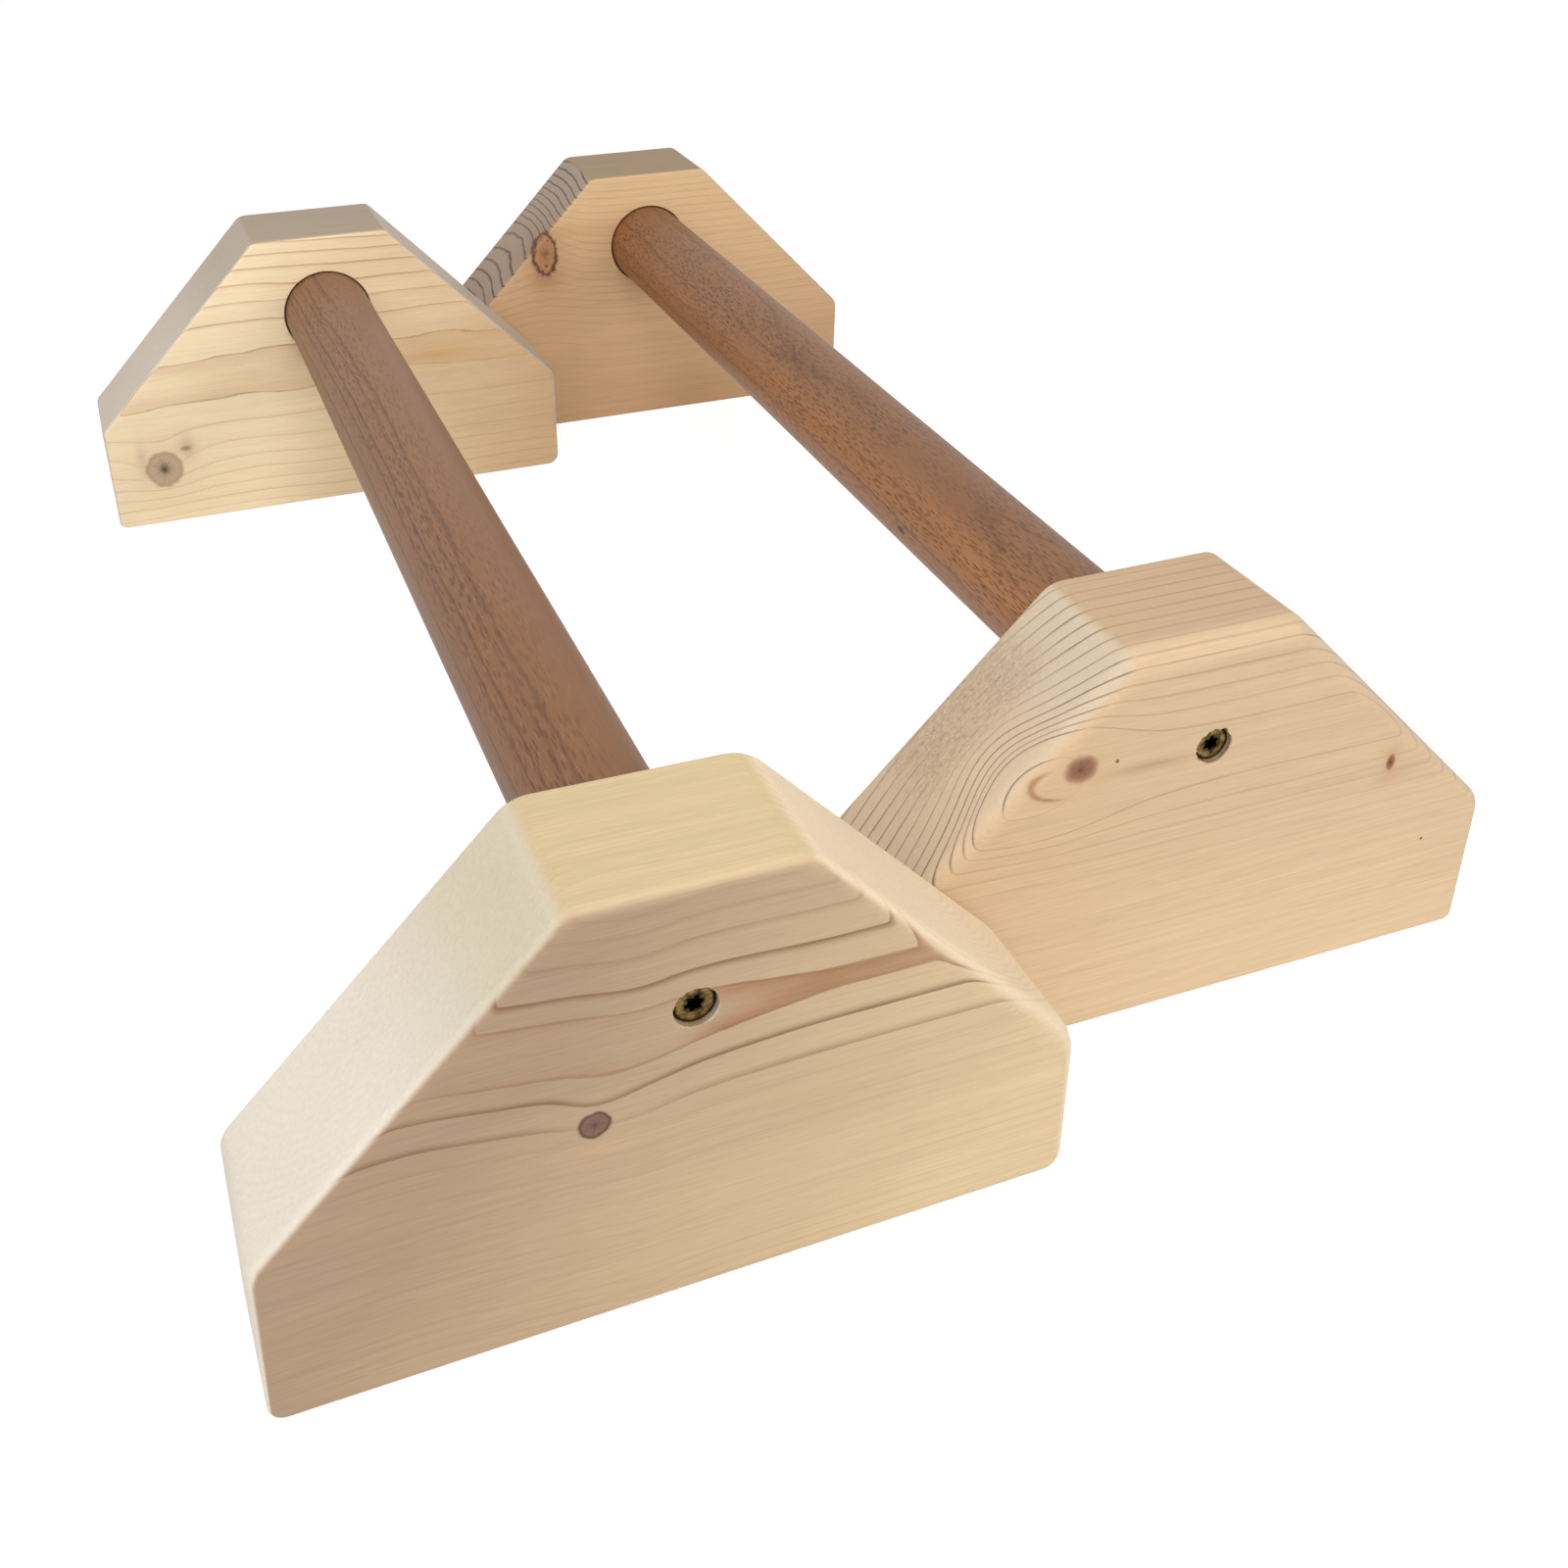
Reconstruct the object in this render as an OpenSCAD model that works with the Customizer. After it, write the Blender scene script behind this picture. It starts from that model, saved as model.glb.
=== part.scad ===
// A pair of low wooden parallettes, set down side by side with their feet nested.
// Each one is a beech dowel held between two chamfered pine feet: the dowel's ends sit in
// blind sockets, and one countersunk wood screw through each foot pulls it tight.
// Left and right are as seen from the front, looking along +Y. The origin is on the floor,
// under the middle of the pair.

/* [Foot] */
// Width of a foot, across the bar
foot_w = 200; // [160:5:300]
// Height of a foot, from the floor to its flat top
foot_h = 120; // [110:1:200]
// Thickness of a foot, along the bar
foot_t = 44; // [36:1:70]
// Width of the flat top
top_w = 55; // [40:1:90]
// Height of the upright ends, from the floor to the chamfers
end_h = 45; // [20:1:60]
// Rounding of the outline where the top meets the chamfers
crown_r = 8; // [5:0.5:20]
// Rounding of the outline where the chamfers meet the upright ends
shoulder_r = 12; // [5:0.5:25]
// Rounding of the outline at the two bottom corners
toe_r = 5; // [4.5:0.5:15]
// Sanded rounding around the outer face
outer_edge_r = 4; // [1:0.5:4.5]
// Sanded rounding around the inner face
inner_edge_r = 1.5; // [0.5:0.5:4]

/* [Bar] */
// Length of one parallette, outer face to outer face
length = 510; // [300:10:1200]
// Diameter of the dowel
bar_d = 36; // [28:1:50]
// Height of the dowel's axis above the floor
bar_z = 86; // [60:1:98]
// Depth of the blind socket in each foot
socket_depth = 28; // [15:1:34]
// Radial clearance between the dowel and its socket
socket_clearance = 0.1; // [0.05:0.05:0.5]
// Chamfer on the dowel's two ends
bar_chamfer = 1; // [0.5:0.5:3]

/* [Screw] */
// Diameter over the thread
screw_d = 5; // [4:0.5:6]
// Length, from the top of the head to the point
screw_len = 70; // [60:5:100]
// Diameter of the plain shank under the head
screw_shank_d = 3.6; // [3.4:0.1:3.9]
// Diameter of the core between the threads
screw_core_d = 3.2; // [2.8:0.1:3.4]
// Length of the thread, the point included
screw_thread_len = 42; // [25:1:50]
// Pitch of the thread
screw_pitch = 2.8; // [2:0.1:4]
// Length of the point
screw_point_len = 6; // [4:0.5:9]
// Diameter of the countersunk head
screw_head_d = 10; // [8:0.5:12]
// Height of the straight rim on the head
screw_rim_h = 0.5; // [0.3:0.1:1]
// Width of the six-lobed drive recess, over its points
drive_d = 4.5; // [3:0.1:5.5]
// Depth of the drive recess
drive_depth = 2.4; // [1:0.1:3]
// How far the top of the head lies below the wood
head_recess = 1.5; // [0:0.1:3]
// How far the screws sit above the dowel's axis
screw_rise = 1.5; // [0:0.5:6]
// Radial clearance around the head's rim
rim_clearance = 0.3; // [0.1:0.1:1]
// Clearance between the head's cone and its countersink
seat_clearance = 0.05; // [0.02:0.01:0.2]
// Radial clearance of the thread in the foot's drilled hole
foot_hole_clearance = 0.2; // [0.1:0.1:0.6]
// Radial clearance of the plain shank in the dowel's pilot hole
pilot_clearance = 0.1; // [0.05:0.05:0.3]
// How much deeper the pilot hole goes than the screw's point
pilot_spare = 1; // [0.5:0.5:5]

/* [Pair] */
// Distance between the two bars, axis to axis
bar_spacing = 160; // [125:5:600]
// Gap between a foot and the foot nested behind it
nest_gap = 0.5; // [0.5:0.5:20]

/* [Hidden] */
$fn = 64;

// Wood left between a socket's floor and the outer face
web_t = foot_t - socket_depth;
bar_len = length - 2 * web_t;
// How far a screw's point goes into the dowel
screw_reach = head_recess + screw_len - web_t;
pilot_r = screw_shank_d / 2 + pilot_clearance;
foot_hole_r = screw_d / 2 + foot_hole_clearance;
// The right bar stands this much further back, so that its feet pass behind the left bar's
setback = foot_t + nest_gap;
// Overrun of a cut past the face that it opens
cut = 1;

// Arcs are drawn with these many steps
corner_steps = 6;
edge_steps = 4;
// Least radius left where an edge's rounding is as deep as a corner's
least_r = 0.1;

// The foot's outline, anticlockwise from the bottom right: corner points and their roundings
outline = [
    [foot_w / 2, 0], [foot_w / 2, end_h], [top_w / 2, foot_h],
    [-top_w / 2, foot_h], [-foot_w / 2, end_h], [-foot_w / 2, 0]
];
outline_r = [toe_r, shoulder_r, crown_r, crown_r, shoulder_r, toe_r];

function unit(v) = v / norm(v);
function inward(from, to) = let (d = unit(to - from)) [-d[1], d[0]];

// Points of the rounded outline, drawn in by inset, in the plane y
function foot_ring(inset, y) = [
    for (i = [0 : len(outline) - 1])
        let (
            before = outline[(i + len(outline) - 1) % len(outline)],
            after = outline[(i + 1) % len(outline)],
            n1 = inward(before, outline[i]),
            n2 = inward(outline[i], after),
            centre_r = max(outline_r[i], inset + least_r),
            centre = outline[i] + centre_r * (n1 + n2) / (1 + n1 * n2),
            start = atan2(n1[1], n1[0]),
            turn = acos(n1 * n2)
        )
        for (k = [0 : corner_steps])
            let (
                a = start + turn * k / corner_steps,
                p = centre - (centre_r - inset) * [cos(a), sin(a)]
            )
            [p[0], y, p[1]]
];

// A closed skin over rings that all have the same number of points
module loft(rings) {
    n = len(rings[0]);
    last = len(rings) - 1;
    polyhedron(
        points = [for (ring = rings) each ring],
        faces = concat(
            [[for (i = [n - 1 : -1 : 0]) i]],
            [for (k = [0 : last - 1], i = [0 : n - 1])
                let (j = (i + 1) % n)
                [k * n + i, k * n + j, (k + 1) * n + j, (k + 1) * n + i]],
            [[for (i = [0 : n - 1]) last * n + i]]
        ),
        convexity = 2
    );
}

// The block of a foot: outer face at y = 0, inner face at y = foot_t
module foot_block() {
    outer_rings = [for (k = [0 : edge_steps])
        let (a = 90 * k / edge_steps)
        foot_ring(outer_edge_r * (1 - sin(a)), outer_edge_r * (1 - cos(a)))];
    inner_rings = [for (k = [edge_steps : -1 : 0])
        let (a = 90 * k / edge_steps)
        foot_ring(inner_edge_r * (1 - sin(a)), foot_t - inner_edge_r * (1 - cos(a)))];
    loft(concat(outer_rings, inner_rings));
}

// Turns a shape drawn up +Z so that it points along +Y, and lifts it to the bar's axis
module on_bar_axis() {
    translate([0, 0, bar_z]) rotate([-90, 0, 0]) children();
}

module on_screw_axis() {
    translate([0, 0, screw_rise]) on_bar_axis() children();
}

// The drilled hole, countersink and counterbore that take a screw, from the outer face in
module screw_hole() {
    rim_r = screw_head_d / 2 + rim_clearance;
    seat_r = screw_head_d / 2 + seat_clearance;
    seat_z = head_recess + screw_rim_h;
    rotate_extrude()
        polygon([
            [0, -cut], [rim_r, -cut], [rim_r, seat_z], [seat_r, seat_z],
            [foot_hole_r, seat_z + seat_r - foot_hole_r],
            [foot_hole_r, web_t + cut], [0, web_t + cut]
        ]);
}

module foot() {
    color([0.87, 0.74, 0.55])
        difference() {
            foot_block();
            on_screw_axis() screw_hole();
            on_bar_axis()
                translate([0, 0, web_t])
                    cylinder(r = bar_d / 2 + socket_clearance, h = socket_depth + cut);
        }
}

// The pilot hole in one end of the dowel, from the socket's floor in
module pilot_hole() {
    on_screw_axis()
        translate([0, 0, web_t - cut])
            cylinder(r = pilot_r, h = cut + screw_reach + pilot_spare);
}

// The dowel, centred on the middle of its parallette
module dowel() {
    color([0.62, 0.45, 0.34])
        difference() {
            on_bar_axis()
                translate([0, 0, -bar_len / 2])
                    rotate_extrude()
                        polygon([
                            [0, 0], [bar_d / 2 - bar_chamfer, 0], [bar_d / 2, bar_chamfer],
                            [bar_d / 2, bar_len - bar_chamfer],
                            [bar_d / 2 - bar_chamfer, bar_len], [0, bar_len]
                        ]);
            at_front() pilot_hole();
            at_rear() pilot_hole();
        }
}

// The six-lobed recess that the driver's bit fits, as a wavy outline
module drive_outline() {
    wave = drive_d * 0.08;
    polygon([for (a = [0 : 7.5 : 359])
        let (r = drive_d / 2 - wave + wave * cos(6 * a)) r * [cos(a), sin(a)]]);
}

// A countersunk wood screw, drawn from the top of its head up +Z to its point.
// Its thread is drawn as a row of ridges at the true pitch.
module screw_blank() {
    head_r = screw_head_d / 2;
    shank_r = screw_shank_d / 2;
    core_r = screw_core_d / 2;
    thread_r = screw_d / 2;
    thread_z = screw_len - screw_thread_len;
    ridges = floor((screw_thread_len - screw_point_len) / screw_pitch);
    rotate_extrude()
        polygon(concat(
            [
                [0, 0], [head_r, 0], [head_r, screw_rim_h],
                [shank_r, screw_rim_h + head_r - shank_r], [shank_r, thread_z]
            ],
            [for (i = [0 : ridges - 1], p = [
                    [core_r, thread_z + screw_pitch * i],
                    [thread_r, thread_z + screw_pitch * (i + 0.35)],
                    [core_r, thread_z + screw_pitch * (i + 0.7)]
                ]) p],
            [[core_r, screw_len - screw_point_len], [0, screw_len]]
        ));
}

module screw() {
    color([0.62, 0.52, 0.28])
        on_screw_axis()
            translate([0, 0, head_recess])
                difference() {
                    screw_blank();
                    translate([0, 0, -cut])
                        linear_extrude(height = cut + drive_depth) drive_outline();
                }
}

// Places: each bar of the pair, then the two ends of a bar
module at_left() {
    translate([-bar_spacing / 2, -setback / 2, 0]) children();
}

module at_right() {
    translate([bar_spacing / 2, setback / 2, 0]) children();
}

module at_front() {
    translate([0, -length / 2, 0]) children();
}

module at_rear() {
    rotate([0, 0, 180]) at_front() children();
}

module left_front_foot() {
    at_left() at_front() foot();
}

module left_rear_foot() {
    at_left() at_rear() foot();
}

module left_bar() {
    at_left() dowel();
}

module left_front_screw() {
    at_left() at_front() screw();
}

module left_rear_screw() {
    at_left() at_rear() screw();
}

module right_front_foot() {
    at_right() at_front() foot();
}

module right_rear_foot() {
    at_right() at_rear() foot();
}

module right_bar() {
    at_right() dowel();
}

module right_front_screw() {
    at_right() at_front() screw();
}

module right_rear_screw() {
    at_right() at_rear() screw();
}

left_front_foot();
left_rear_foot();
left_bar();
left_front_screw();
left_rear_screw();
right_front_foot();
right_rear_foot();
right_bar();
right_front_screw();
right_rear_screw();
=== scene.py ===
"""A pair of low wooden parallettes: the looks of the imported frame, in metres.

Left and right are as seen from the front, looking along +Y. Working values are in millimetres.
"""

import math

import bmesh
import bpy
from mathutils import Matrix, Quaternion, Vector, noise


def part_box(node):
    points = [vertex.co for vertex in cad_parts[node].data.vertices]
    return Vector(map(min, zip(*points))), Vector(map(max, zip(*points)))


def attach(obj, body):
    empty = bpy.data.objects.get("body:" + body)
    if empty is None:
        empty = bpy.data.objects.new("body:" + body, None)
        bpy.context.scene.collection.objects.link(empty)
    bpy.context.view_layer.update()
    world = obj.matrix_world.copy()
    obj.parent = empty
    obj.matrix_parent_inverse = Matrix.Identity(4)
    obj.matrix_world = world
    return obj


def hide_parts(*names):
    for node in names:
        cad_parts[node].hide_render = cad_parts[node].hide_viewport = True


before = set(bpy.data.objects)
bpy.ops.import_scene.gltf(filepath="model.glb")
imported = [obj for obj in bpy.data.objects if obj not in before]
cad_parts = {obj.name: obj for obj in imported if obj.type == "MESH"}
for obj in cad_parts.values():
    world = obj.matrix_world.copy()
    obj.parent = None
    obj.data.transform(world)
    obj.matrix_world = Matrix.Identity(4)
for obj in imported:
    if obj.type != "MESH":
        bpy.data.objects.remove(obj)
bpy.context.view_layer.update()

MM = 0.001


def box_mm(node):
    """The low and high corners of a node's box."""
    low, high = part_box(node)
    return low / MM, high / MM


# Sizes read from the frame
FOOT_LOW, FOOT_HIGH = box_mm("left_front_foot")
FOOT_W = FOOT_HIGH.x - FOOT_LOW.x
FOOT_T = FOOT_HIGH.y - FOOT_LOW.y
FOOT_H = FOOT_HIGH.z
BAR_LOW, BAR_HIGH = box_mm("left_bar")
BAR_R = (BAR_HIGH.x - BAR_LOW.x) / 2
BAR_Z = (BAR_HIGH.z + BAR_LOW.z) / 2
BAR_LEN = BAR_HIGH.y - BAR_LOW.y
SCREW_LOW, SCREW_HIGH = box_mm("left_front_screw")
SCREW_HEAD_R = (SCREW_HIGH.x - SCREW_LOW.x) / 2
SCREW_Z = (SCREW_HIGH.z + SCREW_LOW.z) / 2
SCREW_LEN = SCREW_HIGH.y - SCREW_LOW.y
HEAD_RECESS = SCREW_LOW.y - FOOT_LOW.y
WEB_T = BAR_LOW.y - FOOT_LOW.y

# Sizes that the frame's boxes don't give
TOP_W = 55
END_H = 45
SOCKET_GAP = 0.5
SOCKET_MOUTH = 0.3
BAR_CHAMFER = 1
RIM_CLEARANCE = 0.15
SEAT_CLEARANCE = 0.05
SCREW_SHANK_R = 1.8
SCREW_CORE_R = 1.6
SCREW_THREAD_R = 2.5
SCREW_HOLE_R = 2.7
SCREW_RIM_H = 0.5
SCREW_THREAD_LEN = 42
SCREW_PITCH = 2.8
SCREW_POINT_LEN = 6
PILOT_R = 1.9
PILOT_SPARE = 1
DRIVE_R = 2.25
DRIVE_DEPTH = 2.4

# Edges that turn by more than this stay sharp
SHARP_ANGLE = math.radians(38)


def add_object(name, data):
    """A new object in the scene."""
    added = bpy.data.objects.new(name, data)
    bpy.context.scene.collection.objects.link(added)
    return added


def make_mesh(name, rings, loop=False):
    """A closed skin through rings of points in mm: its two ends are capped, or joined in a loop."""
    bm = bmesh.new()
    rows = [[bm.verts.new(Vector(p) * MM) for p in ring] for ring in rings]
    count = len(rows[0])
    pairs = list(zip(rows, rows[1:]))
    if loop:
        pairs.append((rows[-1], rows[0]))
    for row, following in pairs:
        for i in range(count):
            j = (i + 1) % count
            bm.faces.new((row[i], row[j], following[j], following[i]))
    if not loop:
        bm.faces.new(rows[0])
        bm.faces.new(rows[-1])
    bmesh.ops.recalc_face_normals(bm, faces=bm.faces)
    mesh = bpy.data.meshes.new(name)
    bm.to_mesh(mesh)
    bm.free()
    mesh.shade_smooth()
    mesh.set_sharp_from_angle(angle=SHARP_ANGLE)
    return add_object(name, mesh)


def circle(count, radius, y, z, turn=0.0):
    """A ring about an axis along Y at height z."""
    angles = (turn + 2 * math.pi * i / count for i in range(count))
    return [(radius * math.cos(a), y, z + radius * math.sin(a)) for a in angles]


# Feet

# Rings and points: per corner's arc, the distance along a straight run, over a sanded edge,
# across the thickness and over a face. SUPPORT and RIM_SUPPORT are the flat strips beside edges.
ARC_STEPS = 8
RUN_STEP = 4.0
EDGE_STEPS = 7
SIDE_STEPS = 6
FACE_STEPS = 4
SUPPORT = 0.7
RIM_SUPPORT = 0.6
TORN_DEPTH = 0.5
LEAST_RADIUS = 0.1


class Outline:
    """A foot's rounded outline across the bar, as points that can be drawn in from its edge."""

    def __init__(self, radii, moves):
        half, top = FOOT_W / 2, TOP_W / 2
        self.corners = [Vector(c) for c in (
            (half, 0), (half, END_H), (top, FOOT_H), (-top, FOOT_H), (-half, END_H), (-half, 0))]
        for corner, move in zip(self.corners, moves):
            corner.x += move
        self.radii = radii
        self.samples = []
        for i, corner in enumerate(self.corners):
            self.samples += [(i, k / ARC_STEPS, 0.0) for k in range(ARC_STEPS + 1)]
            following = self.corners[(i + 1) % len(self.corners)]
            steps = round((following - corner).length / RUN_STEP)
            self.samples += [(i, 1.0, k / steps) for k in range(1, steps)]

    def arc(self, i, share, inset):
        """The point at a share of corner i's arc."""
        before, here = self.corners[i - 1], self.corners[i]
        after = self.corners[(i + 1) % len(self.corners)]
        a, b = (here - before).normalized(), (after - here).normalized()
        n1, n2 = Vector((-a.y, a.x)), Vector((-b.y, b.x))
        radius = max(self.radii[i], inset + LEAST_RADIUS)
        centre = here + (n1 + n2) * radius / (1 + n1.dot(n2))
        angle = math.atan2(n1.y, n1.x) + share * math.acos(n1.dot(n2))
        return centre - (radius - inset) * Vector((math.cos(angle), math.sin(angle)))

    def point(self, sample, inset):
        """A sample's place when the outline is drawn in by inset."""
        i, share, run = sample
        start = self.arc(i, share, inset)
        if not run:
            return start
        return start.lerp(self.arc((i + 1) % len(self.corners), 0.0, inset), run)

    def edge_radius(self, sample, edges):
        """The sanded rounding at a sample, between the values given for the six corners."""
        i, _, run = sample
        return edges[i] + (edges[(i + 1) % len(edges)] - edges[i]) * run


def about(points, radius, y, z):
    """The points of a circle that lie in the same directions as an outline's points."""
    found = []
    for p in points:
        a = math.atan2(p.y - z, p.x)
        found.append((radius(a) * math.cos(a), y, z + radius(a) * math.sin(a)))
    return found


def foot_rings(outline, outer, inner, tear, seed):
    """Rings of a foot from its screw hole's rim over the outside and back through its socket.

    y is 0 on the outer face and FOOT_T on the inner face.
    """
    samples = outline.samples
    outer_r = [outline.edge_radius(s, outer) for s in samples]
    inner_r = [outline.edge_radius(s, inner) for s in samples]

    def drawn_in(insets, heights):
        points = (outline.point(s, d) for s, d in zip(samples, insets))
        return [(p.x, y, p.y) for p, y in zip(points, heights)]

    def ragged(radius, amount):
        """A hole's radius by angle, with wood torn out by up to about this amount."""
        def at(a):
            spot = Vector((3 * math.cos(a), 3 * math.sin(a), seed))
            fine = noise.noise(spot * 3)
            return radius + amount * (0.5 + noise.noise(spot) + 0.7 * fine)
        return at

    def plain(radius):
        return lambda a: radius

    def face(hole, rim):
        """Rings between a hole and an outline that lie in one plane."""
        shares = [k / FACE_STEPS for k in range(1, FACE_STEPS)]
        return [[Vector(h).lerp(Vector(r), t) for h, r in zip(hole, rim)] for t in shares]

    def rounding(radii):
        """Insets and depths of the rings over a sanded edge, from the face outward."""
        turns = [math.pi / 2 * k / EDGE_STEPS for k in range(EDGE_STEPS + 1)]
        return [([r * (1 - math.sin(a)) for r in radii], [r * (1 - math.cos(a)) for r in radii])
                for a in turns]

    rim_r = SCREW_HEAD_R + RIM_CLEARANCE
    outer_flat = drawn_in([r + SUPPORT for r in outer_r], [0.0] * len(samples))
    outer_at = [Vector((p[0], p[2])) for p in outer_flat]
    hole = about(outer_at, ragged(rim_r, tear), 0.0, SCREW_Z)
    hole_flat = about(outer_at, ragged(rim_r + RIM_SUPPORT, tear), 0.0, SCREW_Z)
    rings = [hole, hole_flat, *face(hole_flat, outer_flat), outer_flat]
    rings += [drawn_in(insets, depths) for insets, depths in rounding(outer_r)]
    for k in range(SIDE_STEPS + 1):
        share = k / SIDE_STEPS
        start = [r + SUPPORT for r in outer_r]
        end = [FOOT_T - r - SUPPORT for r in inner_r]
        rings.append(drawn_in([0.0] * len(samples),
                              [a + (b - a) * share for a, b in zip(start, end)]))
    for insets, depths in reversed(rounding(inner_r)):
        rings.append(drawn_in(insets, [FOOT_T - depth for depth in depths]))
    inner_flat = drawn_in([r + SUPPORT for r in inner_r], [FOOT_T] * len(samples))
    inner_at = [Vector((p[0], p[2])) for p in inner_flat]
    socket_r = BAR_R + SOCKET_GAP
    mouth_r = socket_r + SOCKET_MOUTH
    mouth_flat = about(inner_at, plain(mouth_r + RIM_SUPPORT), FOOT_T, BAR_Z)
    rings += [inner_flat, *reversed(face(mouth_flat, inner_flat)), mouth_flat]
    seat_y = HEAD_RECESS + SCREW_RIM_H
    seat_r = SCREW_HEAD_R + SEAT_CLEARANCE
    rings += [
        about(inner_at, plain(mouth_r), FOOT_T, BAR_Z),
        about(inner_at, plain(socket_r), FOOT_T - SOCKET_MOUTH, BAR_Z),
        about(inner_at, plain(socket_r), WEB_T, BAR_Z),
        about(inner_at, plain(BAR_R / 2), WEB_T, BAR_Z),
        about(inner_at, plain(SCREW_HOLE_R), WEB_T, SCREW_Z),
        about(outer_at, plain(SCREW_HOLE_R), seat_y + seat_r - SCREW_HOLE_R, SCREW_Z),
        about(outer_at, plain(seat_r), seat_y, SCREW_Z),
        about(outer_at, plain(rim_r), seat_y, SCREW_Z),
        about(outer_at, ragged(rim_r, tear / 3), TORN_DEPTH, SCREW_Z),
    ]
    return rings


def place(rings, node):
    """Moves rings to a node's foot: y runs inward from that foot's outer face."""
    low, high = box_mm(node)
    middle = (low.x + high.x) / 2
    front = "front" in node
    outer, way = (low.y, 1) if front else (high.y, -1)
    return [[(middle + x, outer + way * y, z) for x, y, z in ring] for ring in rings]


# Corners run anticlockwise from the bottom right: radii of the outline, how far hand work moved
# each corner along x, the sanded rounding around the outer and the inner face, and how far the
# screw hole's rim is torn
FOOT_SHAPES = {
    "left_front_foot": dict(
        radii=(6, 18, 13, 11, 9, 4), moves=(-1.2, -1.2, 0, 0, 0.5, 0),
        outer=(5, 6, 3, 3, 3, 1.2), inner=(2, 3, 2.5, 1.5, 1.5, 2), tear=0.35),
    "right_front_foot": dict(
        radii=(3, 11, 7, 9, 10, 6), moves=(0, 0, -4, 0, 0, 0),
        outer=(1.5, 3, 6, 6.5, 4, 3), inner=(2, 2, 1.5, 2, 2, 2), tear=0.55),
    "left_rear_foot": dict(
        radii=(5, 8, 4, 6, 4, 3), moves=(-2, -1.5, 0, -0.5, 0, 0),
        outer=(3, 3, 3, 3, 3, 2), inner=(1, 2, 1.5, 1.5, 1.5, 1), tear=0.3),
    "right_rear_foot": dict(
        radii=(5, 7, 5, 6, 8, 5), moves=(-0.5, 0, 0, 0, 0, 0),
        outer=(3, 3, 3, 3, 3, 3), inner=(1, 1, 1, 1.5, 1.5, 1), tear=0.3),
}


def make_foot(node, body, seed):
    """A foot as one closed skin, with its socket and screw hole."""
    shape = FOOT_SHAPES[node]
    outline = Outline(shape["radii"], shape["moves"])
    rings = foot_rings(outline, shape["outer"], shape["inner"], shape["tear"], seed)
    piece = make_mesh(node + "_wood", place(rings, node), loop=True)
    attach(piece, body)
    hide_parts(node)
    return piece


# Dowels

DOWEL_SIDES = 96
DOWEL_STEP = 6.0
SANDED_OFF = 0.06
SANDED_REACH = 70


def make_dowel(node, body, seed):
    """A dowel with chamfered ends, drilled for its screws."""
    low, high = box_mm(node)
    middle = (low.x + high.x) / 2
    pilot = HEAD_RECESS + SCREW_LEN - WEB_T + PILOT_SPARE
    steps = round((BAR_LEN - 4 * BAR_CHAMFER) / DOWEL_STEP)

    def sanded(y):
        """A ring of the long face, which hand sanding left a little uneven."""
        ring = []
        for x, _, z in circle(DOWEL_SIDES, 1.0, y, 0.0):
            off = noise.noise(Vector((x, z, seed + y / SANDED_REACH)))
            r = BAR_R - SANDED_OFF + SANDED_OFF * off
            ring.append((r * x, y, BAR_Z + r * z))
        return ring

    half = [
        circle(DOWEL_SIDES, PILOT_R * 0.2, pilot, SCREW_Z),
        circle(DOWEL_SIDES, PILOT_R, pilot - PILOT_R, SCREW_Z),
        circle(DOWEL_SIDES, PILOT_R, 0.0, SCREW_Z),
        circle(DOWEL_SIDES, BAR_R / 2, 0.0, BAR_Z),
        circle(DOWEL_SIDES, BAR_R - BAR_CHAMFER, 0.0, BAR_Z),
        circle(DOWEL_SIDES, BAR_R - 2 * SANDED_OFF, BAR_CHAMFER, BAR_Z),
    ]
    body_rings = [sanded(2 * BAR_CHAMFER + (BAR_LEN - 4 * BAR_CHAMFER) * k / steps)
                  for k in range(steps + 1)]
    other = [[(x, BAR_LEN - y, z) for x, y, z in ring] for ring in reversed(half)]
    rings = [[(middle + x, low.y + y, z) for x, y, z in ring]
             for ring in half + body_rings + other]
    piece = make_mesh(node + "_dowel", rings)
    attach(piece, body)
    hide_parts(node)
    return piece


# Screws

SCREW_SIDES = 48
THREAD_STEPS = 8
RIDGE_SHARE = 0.7
TIP_R = 0.06
TIP_SHARE = 0.05

# The recess from its floor up: scale of the star and depth below the head
STAR_RINGS = (
    (0.15, DRIVE_DEPTH + 0.5), (0.8, DRIVE_DEPTH), (0.86, DRIVE_DEPTH - 0.3),
    (0.98, 0.25), (1.04, 0.04), (1.16, 0.0),
)
# The head from the recess to its rim: radius and depth
HEAD_RINGS = (
    (SCREW_HEAD_R * 0.72, 0.0), (SCREW_HEAD_R - 0.45, 0.02), (SCREW_HEAD_R - 0.12, 0.1),
    (SCREW_HEAD_R, 0.25), (SCREW_HEAD_R, SCREW_RIM_H),
)


def star(scale, y):
    """The six-lobed recess as a ring."""
    ring = []
    for i in range(SCREW_SIDES):
        a = 2 * math.pi * i / SCREW_SIDES
        r = DRIVE_R * scale * (0.84 + 0.16 * math.cos(6 * a))
        ring.append((r * math.cos(a), y, r * math.sin(a)))
    return ring


def thread_ring(y, start, growth):
    """A ring across the thread: one ridge winds round the core."""
    ring = []
    for i in range(SCREW_SIDES):
        turn = i / SCREW_SIDES
        phase = ((y - start) / SCREW_PITCH - turn) % 1.0
        ridge = max(0.0, 1 - abs(phase / RIDGE_SHARE * 2 - 1))
        r = (SCREW_CORE_R + (SCREW_THREAD_R - SCREW_CORE_R) * ridge) * growth
        ring.append((r * math.cos(2 * math.pi * turn), y, r * math.sin(2 * math.pi * turn)))
    return ring


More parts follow.
